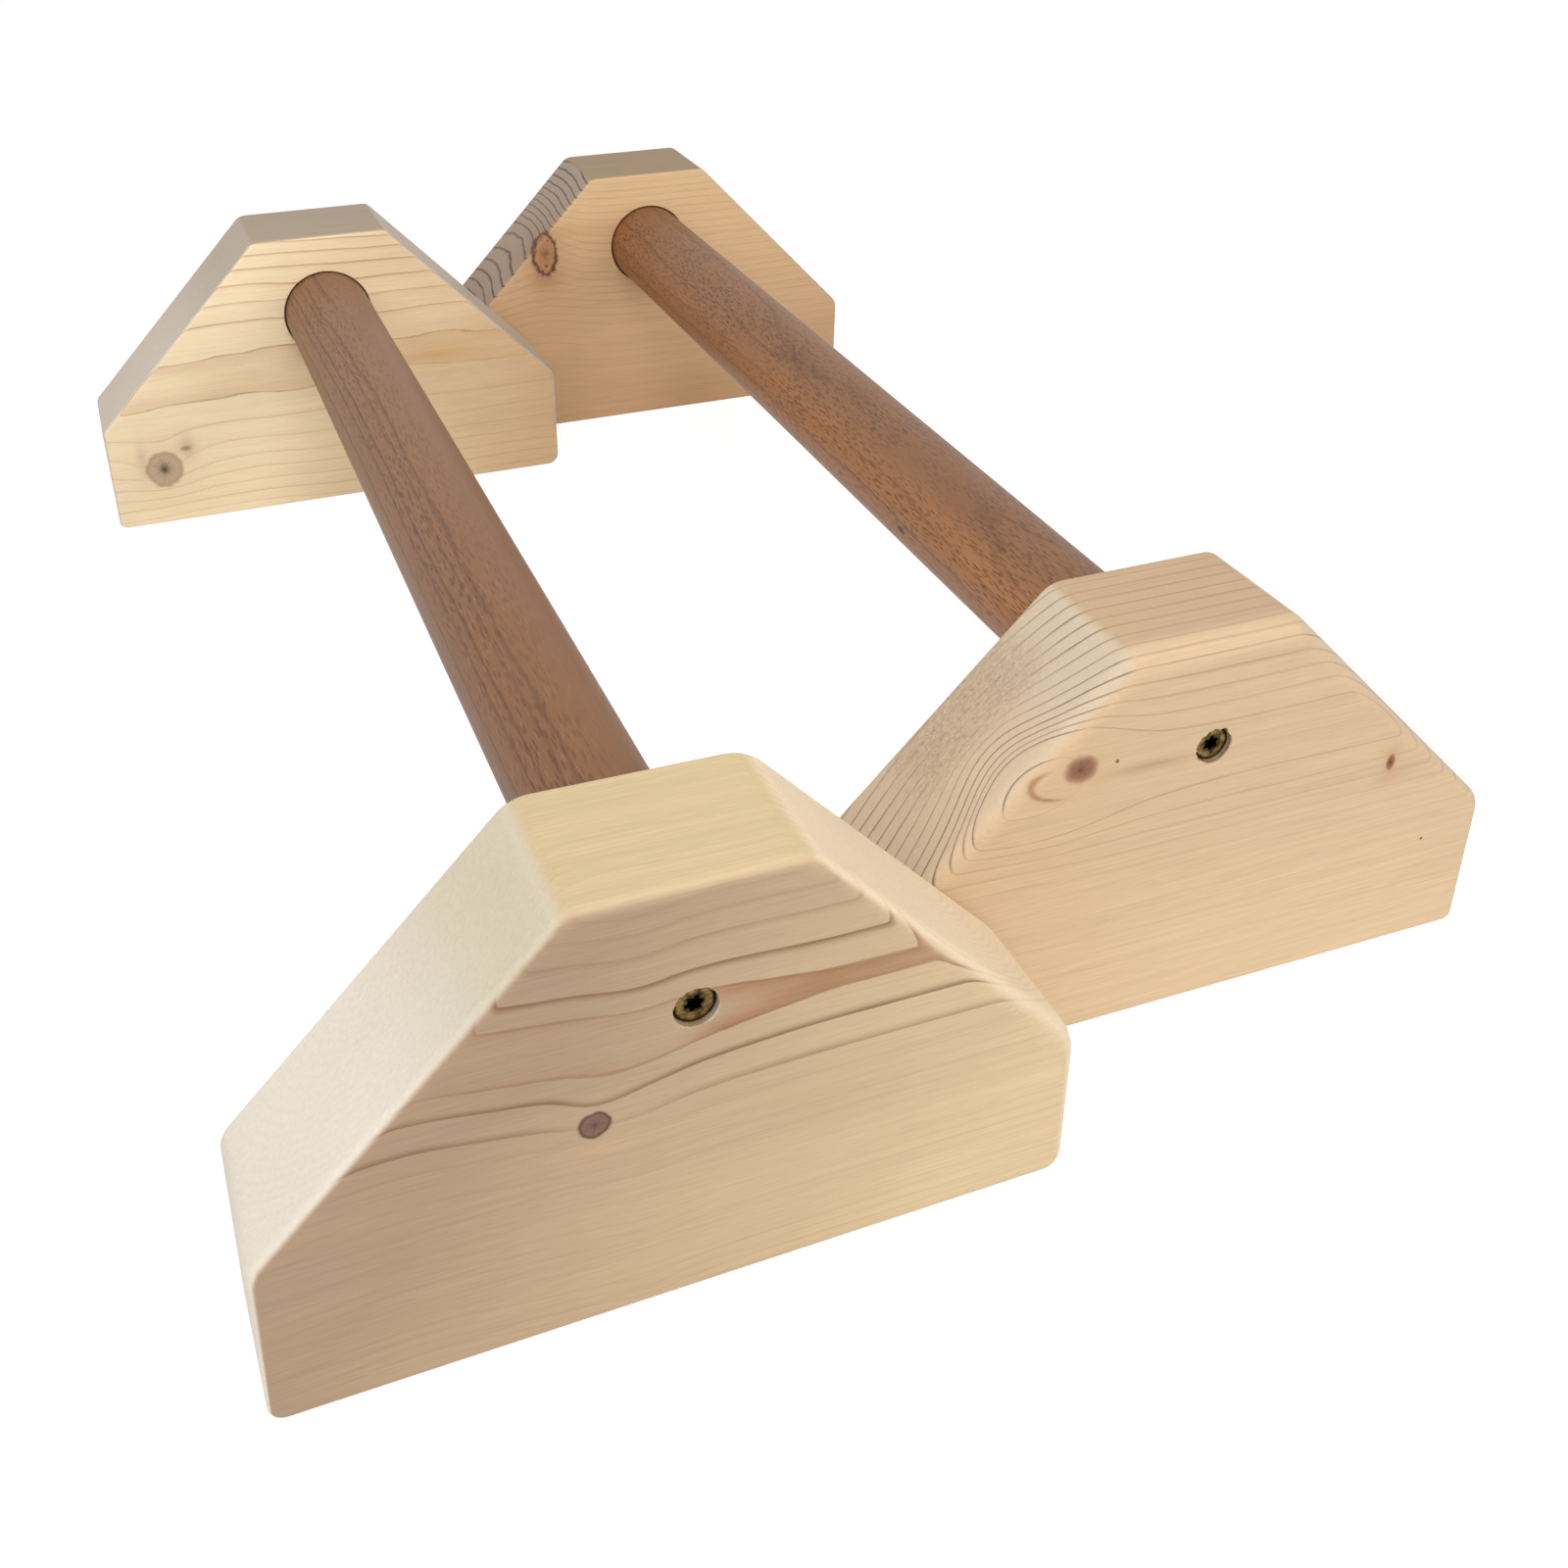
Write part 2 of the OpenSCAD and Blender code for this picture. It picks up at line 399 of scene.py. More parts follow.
def screw_mesh_rings():
    """A screw from the floor of its recess, over the head and down to the point, along +Y."""
    start = SCREW_LEN - SCREW_THREAD_LEN
    shank = (SCREW_RIM_H + SCREW_HEAD_R - SCREW_SHANK_R, start - 0.3)
    rings = [star(scale, y) for scale, y in STAR_RINGS]
    rings += [circle(SCREW_SIDES, radius, y, 0.0) for radius, y in HEAD_RINGS]
    rings += [circle(SCREW_SIDES, SCREW_SHANK_R, y, 0.0) for y in shank]
    count = round(SCREW_THREAD_LEN / SCREW_PITCH * THREAD_STEPS)
    for k in range(count):
        y = start + SCREW_THREAD_LEN * k / count
        left = SCREW_LEN - y
        growth = min(1.0, TIP_SHARE + (1 - TIP_SHARE) * left / SCREW_POINT_LEN)
        rings.append(thread_ring(y, start, growth))
    rings.append(circle(SCREW_SIDES, TIP_R, SCREW_LEN, 0.0))
    return rings


def make_screw(node, body, turn):
    """A screw in its foot, with its recess turned by an angle."""
    low, high = box_mm(node)
    front = "front" in node
    start, way = (low.y, 1) if front else (high.y, -1)
    middle = (low.x + high.x) / 2
    c, s = math.cos(turn), math.sin(turn)
    rings = [[(middle + x * c - z * s, start + way * y, SCREW_Z + x * s + z * c)
              for x, y, z in ring] for ring in screw_mesh_rings()]
    piece = make_mesh(node + "_steel", rings)
    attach(piece, body)
    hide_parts(node)
    return piece


# Material nodes


def linear(red, green, blue):
    """A screen colour of 0 to 255 as the numbers that a shader takes."""
    def channel(value):
        v = value / 255
        return v / 12.92 if v <= 0.04045 else ((v + 0.055) / 1.055) ** 2.4
    return channel(red), channel(green), channel(blue), 1.0


class Field:
    """A number, vector or colour that varies over a surface. Arithmetic on it adds nodes."""

    def __init__(self, tree, socket):
        self.tree = tree
        self.socket = socket

    def feed(self, node, index, value):
        """Links or sets one of a node's inputs."""
        socket = node.inputs[index]
        if isinstance(value, Field):
            self.tree.links.new(value.socket, socket)
        else:
            socket.default_value = value

    def math(self, operation, *others, clamp=False):
        node = self.tree.nodes.new("ShaderNodeMath")
        node.operation = operation
        node.use_clamp = clamp
        for i, value in enumerate((self, *others)):
            self.feed(node, i, value)
        return Field(self.tree, node.outputs[0])

    def __add__(self, other):
        return self.math("ADD", other)

    def __sub__(self, other):
        return self.math("SUBTRACT", other)

    def __mul__(self, other):
        return self.math("MULTIPLY", other)

    def __rsub__(self, other):
        return self.math("MULTIPLY_ADD", -1.0, other)

    def __truediv__(self, other):
        return self.math("DIVIDE", other)

    def squared(self):
        return self.math("MULTIPLY", self)

    def bell(self):
        """1 where the field is 0, and falling off on both sides."""
        return (self.squared() * -1.0).math("EXPONENT")

    def lifted(self, rest):
        """A share of 0 to 1 brought to between rest and 1."""
        return self * (1 - rest) + rest

    def map_range(self, kind, low, high):
        node = self.tree.nodes.new("ShaderNodeMapRange")
        node.interpolation_type = kind
        for i, value in enumerate((self, low, high)):
            self.feed(node, i, value)
        return Field(self.tree, node.outputs[0])

    def smooth(self, low, high):
        """0 at low and 1 at high, also where low is the larger, with a soft step between."""
        return self.map_range("SMOOTHSTEP", low, high)

    def ramp(self, low, high):
        """0 at low and 1 at high, with a straight slope between."""
        return self.map_range("LINEAR", low, high)

    def split(self):
        node = self.tree.nodes.new("ShaderNodeSeparateXYZ")
        self.feed(node, 0, self)
        return [Field(self.tree, s) for s in node.outputs]

    def vector_math(self, operation, value):
        node = self.tree.nodes.new("ShaderNodeVectorMath")
        node.operation = operation
        self.feed(node, 0, self)
        self.feed(node, 1, value)
        return Field(self.tree, node.outputs[0])

    def noise(self, stretch, detail=2.0, roughness=0.5, seed=0.0):
        """Smooth noise of about -1 to 1 whose grain measures 1 / stretch along X, Y and Z."""
        node = self.tree.nodes.new("ShaderNodeTexNoise")
        shift = (seed, seed * 1.7, seed * 0.6)
        self.feed(node, "Vector", self.vector_math("MULTIPLY", stretch).vector_math("ADD", shift))
        node.inputs["Scale"].default_value = 1.0
        node.inputs["Detail"].default_value = detail
        node.inputs["Roughness"].default_value = roughness
        return (Field(self.tree, node.outputs[0]) - 0.5) * 2.6

    def random(self, seed):
        """A random number from 0 to 1 for each whole number."""
        node = self.tree.nodes.new("ShaderNodeTexWhiteNoise")
        node.noise_dimensions = "1D"
        self.feed(node, "W", self.math("FLOOR") + (seed + 0.37))
        return Field(self.tree, node.outputs[0])

    def mix(self, first, second):
        """The colour between first and second at this share."""
        node = self.tree.nodes.new("ShaderNodeMix")
        node.data_type = "RGBA"
        self.feed(node, 0, self)
        self.feed(node, 6, first)
        self.feed(node, 7, second)
        return Field(self.tree, node.outputs[2])

    def brighter(self, amount):
        """This colour times 1 plus a small number that varies."""
        node = self.tree.nodes.new("ShaderNodeVectorMath")
        node.operation = "SCALE"
        self.feed(node, 0, self)
        self.feed(node, "Scale", amount + 1.0)
        return Field(self.tree, node.outputs[0])


def hypot(a, b):
    return (a.squared() + b.squared()).math("SQRT")


def new_material(name):
    material = bpy.data.materials.new(name)
    material.use_nodes = True
    tree = material.node_tree
    tree.nodes.clear()
    return material, tree


def spot_mm(tree, origin):
    """Where a point of the surface is, in mm from an origin in the row frame."""
    node = tree.nodes.new("ShaderNodeTexCoord")
    metres = Field(tree, node.outputs["Object"])
    return metres.vector_math("MULTIPLY", (1 / MM,) * 3).vector_math("SUBTRACT", origin)


# How far a height of 1 stands out, in mm
WOOD_RELIEF = 0.05
STEEL_RELIEF = 0.04


def surface(tree, colour, roughness, height, relief, metallic=0.0, specular=0.35):
    """The shader: its colour, roughness and bump vary, and the rest is constant."""
    shader = tree.nodes.new("ShaderNodeBsdfPrincipled")
    bump = tree.nodes.new("ShaderNodeBump")
    output = tree.nodes.new("ShaderNodeOutputMaterial")
    colour.feed(shader, "Base Color", colour)
    colour.feed(shader, "Roughness", roughness)
    shader.inputs["Metallic"].default_value = metallic
    shader.inputs["Specular IOR Level"].default_value = specular
    bump.inputs["Strength"].default_value = 1.0
    bump.inputs["Distance"].default_value = relief * MM
    colour.feed(bump, "Height", height)
    tree.links.new(bump.outputs[0], shader.inputs["Normal"])
    tree.links.new(shader.outputs[0], output.inputs[0])


# Rings


def count_rings(radius, borders, core, width):
    """Rings counted outward from the first border, and how wide the ring is at each point.

    core is the width of the rings inside the borders, and width that of the rings outside them.
    """
    count = ((radius - borders[0]) / core).math("MINIMUM", 0.0)
    for low, high in zip(borders, borders[1:]):
        count = count + radius.ramp(low, high)
    widths = [core, *(high - low for low, high in zip(borders, borders[1:])), width]
    wide = core
    for border, before, after in zip(borders, widths, widths[1:]):
        wide = radius.math("GREATER_THAN", border) * (after - before) + wide
    return count + ((radius - borders[-1]) / width).math("MAXIMUM", 0.0), wide


# Pine: every foot is cut from its own board. x runs across the foot, d is the depth behind the
# face that shows in the photograph, and z is up, all in mm. The keys of a board:
#   pith, deeper: d and z of the pith, and how much its d grows between two x
#   bends: places where the rings swing up or down: amount, x and reach
#   bulges: rings that swing out round a knot: amount, x, z, both reaches, and the
#     depths where they are gone and up to which they are whole
#   borders: radii of the rings' borders that the photograph shows
#   core, width: ring widths inside and outside those borders
#   wander, feather: how far the rings waver, slowly and finely
#   dark, light: the face's two colours, each the wood's own colour with painted shade in it
#   slope: the share of the light colour, which paints the shade that falls across the face as well
#     as the wood's own change of colour: at the origin, and its growth along x and z
#   late, late_core: colour of the dark wood that ends a ring, outside and inside the borders
#   edge: colour of the fine line on a ring's border
#   face_rings: shares of late wood and line on the face
#   line, end_line: the line's width on the face and on the end grain
#   bold: rings from just inside the borders up to this one show fully
#   even: the least share of the other rings
#   core_late: two x between which late wood inside the borders grows from a share
#     to whole
#   late_from: where in a ring its late wood starts
#   plain, top: two heights between which the rings fade, downward and upward, to a share
#   accents: spots where the rings show more or less: amount, x, z and both reaches
#   fades: two x between which the rings fade to a share
#   end, end_high: the left end grain's colour, low and high: its own colour with painted light
#     and shade in it
#   end_late, right: colour of its lines, and the right end grain's colour, a painted copy that is
#     lit differently from the left's
#   left_rings, right_rings: shares of the lines on the two ends
#   fuzz: how torn the left chamfer is
#   up, up_share: the top's colour, which paints the light and shade falling on the top, its share,
#     and the two depths between which it sets in
#   up_rings: share of the rings on the top
BEYOND = FOOT_W

GRAIN = {
    "left_front_foot": dict(
        pith=(44.7, 85.7), deeper=(0.6, -15, 35), bends=((4.5, -66, 24), (-2.2, -13, 11)),
        bulges=((1.2, -24, 66, 9, 8, 60, 50),),
        borders=(45.4, 46.85, 49.9, 52.8), core=1.9, width=2.6,
        wander=0.05, feather=0.035, seed=3.0,
        dark=(177, 149, 121), light=(224, 198, 157), slope=(0.6, 0.0062, -0.0042),
        late=(140, 103, 70), late_core=(162, 112, 74), edge=(130, 92, 60),
        face_rings=(0.86, 0.42), line=0.5, end_line=0.4, bold=2.0, even=0.2,
        core_late=(-8, 8, 0.25), late_from=0.68, plain=(58, 72, 0.1), top=(101, 105, 0.3),
        accents=((-0.5, -61, 87, 6, 10),),
        end=(240, 229, 212), end_high=(214, 202, 177), end_late=(176, 138, 104),
        right=(236, 214, 182), left_rings=0.05, right_rings=0.16, fuzz=0.3,
        up=(219, 197, 151), up_share=(0.65, -2, -1), up_rings=0.06,
    ),
    "right_front_foot": dict(
        pith=(-45, 85.5), deeper=(0, -50, 50), bends=((3, -70, 30),),
        bulges=((8.5, -55, 88, 22, 16, 34, 18),),
        borders=(46.0, 47.8, 49.9, 52.3, 55.2, 58.6, 62.3), core=6.0, width=4.2,
        wander=0.35, feather=0.05, seed=11.0,
        dark=(214, 185, 149), light=(237, 209, 166), slope=(0.5, 0.0, -0.008),
        late=(206, 168, 128), edge=(156, 116, 78),
        face_rings=(0.3, 0.5), line=0.4, end_line=0.24, bold=0.0, even=0.6,
        core_late=(BEYOND, BEYOND + 1, 0.2), late_from=0.76, plain=(52, 70, 0.15),
        accents=((0.8, -54, 86, 3, 5),), fades=((-20, 30, 0.75),),
        end=(216, 192, 161), end_high=(214, 195, 168), end_late=(104, 76, 52),
        right=(214, 190, 160), left_rings=1.1, right_rings=0.6, fuzz=2.0,
        up=(194, 165, 132), up_share=(0.85, 5, 9), up_rings=1.1,
    ),
    "left_rear_foot": dict(
        pith=(-60, 62.8), deeper=(-0.75, -20, 40), bends=((2, -40, 30),),
        bulges=((3.0, -78, 25, 14, 13, 60, 50),),
        borders=(60.9, 64.2, 67.6), core=3.2, width=3.6,
        wander=1.1, feather=0.1, seed=29.0,
        dark=(214, 180, 136), light=(255, 233, 193), slope=(0.74, -0.0072, 0.0),
        late=(216, 170, 120), edge=(164, 118, 76),
        face_rings=(0.42, 0.6), line=0.34, end_line=0.3, bold=0.0, even=0.5,
        late_from=0.76, plain=(40, 60, 0.4),
        end=(230, 214, 196), end_high=(206, 189, 170), end_late=(146, 118, 94),
        right=(212, 196, 178), left_rings=0.35, right_rings=0.35, fuzz=0.4,
        up=(170, 153, 136), up_share=(0.85, -2, -1), up_rings=0.2,
    ),
    "right_rear_foot": dict(
        pith=(23, -24), deeper=(0, -50, 50), bends=((5, -55, 22),),
        bulges=((5, -52, 88, 12, 16, 60, 50),),
        borders=(66.0, 69.4), core=3.4, width=3.5,
        wander=1.2, feather=0.1, seed=47.0,
        dark=(184, 142, 104), light=(228, 192, 147), slope=(0.31, -0.001, 0.006),
        late=(196, 150, 106), edge=(164, 118, 78),
        face_rings=(0.1, 0.26), line=0.34, end_line=0.32, bold=0.0, even=0.7,
        late_from=0.76, plain=(40, 60, 0.5),
        end=(182, 158, 137), end_high=(182, 162, 143), end_late=(74, 54, 40),
        right=(182, 162, 143), left_rings=1.5, right_rings=0.6, fuzz=0.4,
        up=(158, 136, 110), up_share=(0.8, -2, -1), up_rings=0.3,
    ),
}

# Soft stains on the shown face: x, z, both reaches, colour and share
STAINS = {
    "left_front_foot": ((-23, 55, 5, 2.5, (206, 168, 130), 0.35),),
    "right_front_foot": (
        (-20, 86.3, 12, 1.5, (178, 134, 96), 0.5), (63.5, 62, 6, 2.4, (206, 160, 128), 0.5),
        (60, 71, 3, 1.6, (206, 164, 130), 0.5),
    ),
    "left_rear_foot": (
        (46, 61.5, 17, 3.6, (222, 172, 118), 0.7), (-67, 34, 3.4, 5, (190, 160, 132), 0.55),
        (-86, 30, 2.4, 8, (196, 164, 134), 0.4),
    ),
    "right_rear_foot": (
        (-52, 76, 7, 6, (176, 128, 88), 0.5), (-30, 96, 30, 3, (206, 162, 116), 0.4),
    ),
}

# Knots: x and z, radii along both, colours of the wood in them, of their rim and around them,
# and how strong the halo and the rim are. heart darkens the middle, soft blurs the edge, ragged
# breaks it, and deep ends a knot at that depth, where the others run through the foot.
KNOTS = {
    "left_front_foot": (
        dict(at=(-23.5, 62), size=(3.4, 3.4), core=(130, 96, 84), rim=(96, 64, 48), halo=0.3,
             tint=(196, 158, 122), heart=0.7, dark_rim=0.95, soft=0.08),
    ),
    "right_front_foot": (
        dict(at=(-40.3, 90), size=(4.4, 3.8), core=(150, 104, 76), rim=(140, 94, 64), halo=0.9,
             tint=(214, 174, 134), heart=0.7, dark_rim=0.2, soft=0.35),
        dict(at=(61.6, 67.3), size=(1.3, 2.4), core=(150, 96, 64), rim=(112, 68, 46), halo=1.0,
             tint=(198, 152, 116), heart=0.35, dark_rim=0.4, soft=0.35),
    ),
    "left_rear_foot": (
        dict(at=(-77.7, 25.3), size=(7.0, 7.6), core=(204, 176, 144), rim=(146, 114, 86),
             halo=0.6, tint=(220, 186, 144), heart=0.42, dark_rim=0.45, soft=0.2),
        dict(at=(-67.5, 33.5), size=(2.0, 1.0), core=(196, 162, 128), rim=(150, 116, 90),
             halo=0.5, tint=(212, 176, 136), heart=0.8, dark_rim=0.3, soft=0.4),
    ),
    "right_rear_foot": (
        dict(at=(-51.5, 86.5), size=(5.6, 9.6), deep=9.0, core=(190, 138, 94), rim=(72, 44, 28),
             halo=0.8, tint=(166, 116, 76), heart=0.7, dark_rim=0.9, soft=0.2, ragged=0.28),
    ),
}
RAGGED = 0.14

# Brown arcs where rings swing round the left of a knot: x, z, radii, width and colour
SWIRLS = {
    "right_front_foot": ((-43.5, 87.0, 10.8, 5.0, 0.1, (160, 110, 70)),),
}

# Small dark pits on the shown face: x, z and radius
PITS = {
    "right_front_foot": ((80, 36, 0.7), (-29.7, 90, 0.8)),
    "right_rear_foot": ((-51, 81, 1.0), (-50, 93, 0.7)),
}

PIT_BROWN = linear(92, 58, 40)
HOLE_SHADE = linear(112, 86, 58)
SAWN_TONE = linear(214, 186, 152)


class Board:
    """One foot's wood: its material, where a point lies in it, which way it faces, its texture."""

    def __init__(self, node):
        self.grain = GRAIN[node]
        self.seed = seed = self.grain["seed"]
        low, high = box_mm(node)
        self.material, self.tree = new_material(node + "_pine")
        self.spot = spot_mm(self.tree, ((low.x + high.x) / 2, low.y, 0.0))
        self.x, self.d, self.z = self.spot.split()
        geometry = self.tree.nodes.new("ShaderNodeNewGeometry")
        self.across, _, up = Field(self.tree, geometry.outputs["Normal"]).split()
        self.end_grain = self.across.math("ABSOLUTE").smooth(0.25, 0.62)
        self.upward = up.smooth(0.45, 0.9)
        self.skin = self.d.smooth(8.0, 5.0)
        self.fibre = self.spot.noise((0.03, 1.6, 1.6), 3.0, 0.6, seed + 1)
        self.dashes = self.spot.noise((0.14, 2.2, 2.2), 2.0, 0.6, seed + 7)
        self.streak = self.spot.noise((0.006, 0.22, 0.22), 2.0, 0.5, seed + 2)
        self.cloud = self.spot.noise((0.012, 0.02, 0.03), 1.0, 0.5, seed + 3)
        self.grit = self.spot.noise((0.9, 0.9, 0.9), 2.0, 0.7, seed + 4)

    def near(self, at_x, at_z, reach_x, reach_z):
        """1 at a place of the face, falling off around it."""
        across, up = (self.x - at_x) / reach_x, (self.z - at_z) / reach_z
        return ((across.squared() + up.squared()) * -1.0).math("EXPONENT")


def ring_field(board):
    """Rings counted from the first border, their width, and how steeply they cross a face."""
    grain, seed = board.grain, board.seed
    shift, start, end = grain["deeper"]
    pith_d = board.x.smooth(start, end) * shift + grain["pith"][0]
    height = board.z - grain["pith"][1]
    for amount, at, reach in grain["bends"]:
        height = height - ((board.x - at) / reach).bell() * amount
    radius = hypot(board.d - pith_d, height)
    steep = (height / radius).math("ABSOLUTE").math("MAXIMUM", 0.07)
    radius = radius + board.spot.noise((0.012, 0.05, 0.05), seed=seed) * grain["wander"]
    fine = board.spot.noise((0.04, 1.3, 1.3), 2.0, 0.6, seed + 20)
    radius = radius + fine * grain["feather"]
    for amount, *place, gone, whole in grain["bulges"]:
        radius = radius - board.near(*place) * board.d.smooth(gone, whole) * amount
    count, wide = count_rings(radius, grain["borders"], grain["core"], grain["width"])
    return count, wide, steep


def rings_shown(board):
    """How much of the rings shows at each place of the face and on the top."""
    grain = board.grain
    low, high, rest = grain["plain"]
    shown = board.z.smooth(low, high).lifted(rest)
    if "top" in grain:
        low, high, rest = grain["top"]
        shown = shown * board.z.smooth(high, low).lifted(rest)
    for amount, *place in grain.get("accents", ()):
        shown = (shown + board.near(*place) * amount).math("MAXIMUM", 0.0)
    for start, end, rest in grain.get("fades", ()):
        shown = shown * board.x.smooth(end, start).lifted(rest)
    return board.upward * (grain["up_rings"] - shown) + shown


def ring_shares(board):
    """Shares of a ring's late wood and line on the face, and of both together on the end grain.

    The first of the four is 1 inside the first border.
    """
    grain, seed = board.grain, board.seed
    count, wide, steep = ring_field(board)
    steep = (1.0 - steep) * board.end_grain.math("MAXIMUM", board.upward) + steep
    in_ring = count.math("FRACT")
    late_from = grain["late_from"] - count.random(seed + 5) * 0.16
    late = in_ring.smooth(late_from, 0.97) * in_ring.smooth(1.0, 0.975)
    inner = count.smooth(0.02, -0.02)
    if "core_late" in grain:
        start, end, rest = grain["core_late"]
        late = late * (1.0 - inner * (1.0 - board.x.smooth(start, end)) * (1 - rest))
    reach = steep * (board.end_grain * (grain["end_line"] - grain["line"]) + grain["line"])
    line = ((1.0 - in_ring) * wide / reach - 0.85).bell()
    bold = count.smooth(grain["bold"] + 0.05, grain["bold"]) * count.smooth(-1.7, -1.5)
    broken = board.spot.noise((0.05, 0.3, 0.3), 2.0, 0.5, seed + 8) * 0.25 + 0.85
    strength = count.random(seed).lifted(grain["even"]).math("MAXIMUM", bold) * broken
    shown = rings_shown(board)
    late_share, line_share = grain["face_rings"]
    late_face = late * late_share * strength * shown
    line_face = (line * line_share * strength * shown).math("MINIMUM", 0.95)
    on_end = board.across.smooth(-0.1, 0.1) * (grain["right_rings"] - grain["left_rings"])
    on_end = (on_end + grain["left_rings"]) * (late * 0.2 + line * 0.8) * strength
    return inner, late_face, line_face, on_end.math("MINIMUM", 0.9)


def face_wood(board, stains, inner, late_face, line_face):
    """The colour of the planed faces and the top, with painted shade across the faces and painted
    light and shade on the top.
    """
    grain = board.grain
    base, along, up = grain["slope"]
    # Painted shade: the two colours and their slope darken the face where shade falls across it,
    # besides the wood's own change of colour.
    tone_and_shade = (board.x * along + board.z * up + base).math("ADD", board.cloud * 0.12, clamp=True)
    colour = tone_and_shade.mix(linear(*grain["dark"]), linear(*grain["light"]))
    # Painted light and shade on the top: the top takes a colour of its own, lighter or darker than
    # the faces.
    share, start, end = grain["up_share"]
    top = board.upward * board.d.smooth(start, end) * share
    colour = top.mix(colour, linear(*grain["up"]))
    late_core = linear(*grain.get("late_core", grain["late"]))
    colour = late_face.mix(colour, inner.mix(linear(*grain["late"]), late_core))
    colour = line_face.mix(colour, linear(*grain["edge"]))
    for *place, stain, share in stains:
        here = board.near(*place) * (board.dashes * 0.25 + share) * board.skin
        colour = here.mix(colour, linear(*stain))
    return colour.brighter(board.fibre * 0.1 + board.dashes * 0.07 + board.streak * 0.05)


def end_wood(board, on_end):
    """The colour of the end grain on the chamfers and upright ends."""
    grain = board.grain
    # Painted light and shade: the end colours carry the light on each end, and the right end is a
    # differently lit copy.
    colour = board.z.smooth(75.0, 112.0).mix(linear(*grain["end"]), linear(*grain["end_high"]))
    colour = board.across.smooth(0.1, 0.3).mix(colour, linear(*grain["right"]))
    colour = on_end.mix(colour, linear(*grain["end_late"]))
    return colour.brighter(board.grit * 0.07 + board.cloud * 0.04)


def torn_chamfer(board):
    """How much of the left chamfer is torn at each place, and the marks there."""
    torn = board.d.smooth(14.0, 28.0) * board.across.smooth(-0.4, -0.6) * board.z.smooth(62, 80)
    torn = torn * board.z.smooth(116, 102) * board.grain["fuzz"]
    return torn, board.spot.noise((0.55, 0.9, 0.55), 4.0, 0.75, board.seed + 6)


def knot_masks(board, knot, seed):
    """Shares of a knot's core, rim, cracks, heart and halo, and the distance from its middle."""
    at_x, at_z = knot["at"]
    size_x, size_z = knot["size"]
    dx, dz = (board.x - at_x) / size_x, (board.z - at_z) / size_z
    ragged = board.spot.noise((0.35, 0.1, 0.35), 3.0, seed=seed) * knot.get("ragged", RAGGED)
    away = hypot(dx, dz)
    if "deep" in knot:
        away = hypot(away, board.d / knot["deep"])
    away = away + ragged
    soft = knot["soft"]
    core = away.smooth(1.0 + soft, 1.0 - soft)
    rim = ((away - 0.98) / 0.14).bell() * knot["dark_rim"]
    rays = dz.math("ARCTAN2", dx)
    cracks = (rays * 3.5 + ragged * 3.0).math("SINE").math("ABSOLUTE").smooth(0.14, 0.02)
    cracks = cracks * away.smooth(1.0, 0.6)
    heart = (away / 0.3).bell()
    halo = (away / 2.1).bell() * knot["halo"]
    return core, rim, cracks, heart, halo, away


def with_knots(board, node, colour, height):
    """The wood's colour and height with the knots, brown arcs and pits of its foot."""
    for i, knot in enumerate(KNOTS[node]):
        core, rim, cracks, heart, halo, away = knot_masks(board, knot, board.seed + 10 + i)
        wood = linear(*knot["core"])
        dark_heart = linear(*(knot["heart"] * c for c in knot["core"]))
        dark_crack = linear(*(0.55 * c for c in knot["core"]))
        inside = heart.mix(wood, dark_heart)
        swirl = (away * 9.0 + board.grit).math("SINE") * 0.05
        inside = inside.brighter(swirl + board.grit * 0.08)
        inside = (cracks * 0.5).mix(inside, dark_crack)
        colour = (halo * 0.5).mix(colour, linear(*knot["tint"]))
        colour = core.mix(colour, inside)
        colour = rim.mix(colour, linear(*knot["rim"]))
        height = height - (rim + cracks * core) * 1.2
    for at_x, at_z, size_x, size_z, width, brown in SWIRLS.get(node, ()):
        dx, dz = (board.x - at_x) / size_x, (board.z - at_z) / size_z
        arc = ((hypot(dx, dz) + board.dashes * 0.03 - 1.0) / width).bell()
        arc = arc * (dx + dz * 0.25).smooth(-0.1, -0.8) * board.skin
        colour = (arc * 0.75).mix(colour, linear(*brown))
    for at_x, at_z, radius in PITS.get(node, ()):
        pit = hypot(board.x - at_x, board.z - at_z).smooth(radius, radius * 0.4)
        pit = pit * board.d.smooth(3.0, 2.0)
        colour = (pit * 0.85).mix(colour, PIT_BROWN)
        height = height - pit * 2.0
    return colour, height


def pine(node):
    """Sanded bare pine with its rings, fibre, end grain and knots, solid through the foot."""
    board = Board(node)
    inner, late_face, line_face, on_end = ring_shares(board)
    torn, marks = torn_chamfer(board)
    on_end = on_end * (1.0 - torn * (marks * 0.4 + 0.3))
    face = face_wood(board, STAINS[node], inner, late_face, line_face)
    colour = board.end_grain.mix(face, end_wood(board, on_end))
    height = board.fibre * 0.35 + board.dashes * 0.25
    colour, height = with_knots(board, node, colour, height)
    # Painted shade: the wall of the screw hole round the head is darkened where shade falls in it.
    hole = hypot(board.x, board.z - SCREW_Z).smooth(SCREW_HEAD_R + 1.0, SCREW_HEAD_R + 0.6)
    hole = hole * board.d.smooth(0.1, 0.5) * board.d.smooth(6.0, 4.0)
    colour = (hole * 0.6).mix(colour, HOLE_SHADE)
    colour = (torn * 0.2).mix(colour, SAWN_TONE)
    colour = colour.brighter(torn * marks * 0.22 + torn * 0.02)
    height = height + torn * marks * 4.5 + board.end_grain * board.grit * 0.8
    roughness = board.fibre * 0.04 - line_face * 0.06 + 0.62
    surface(board.tree, colour, roughness, height, WOOD_RELIEF)
    return board.material


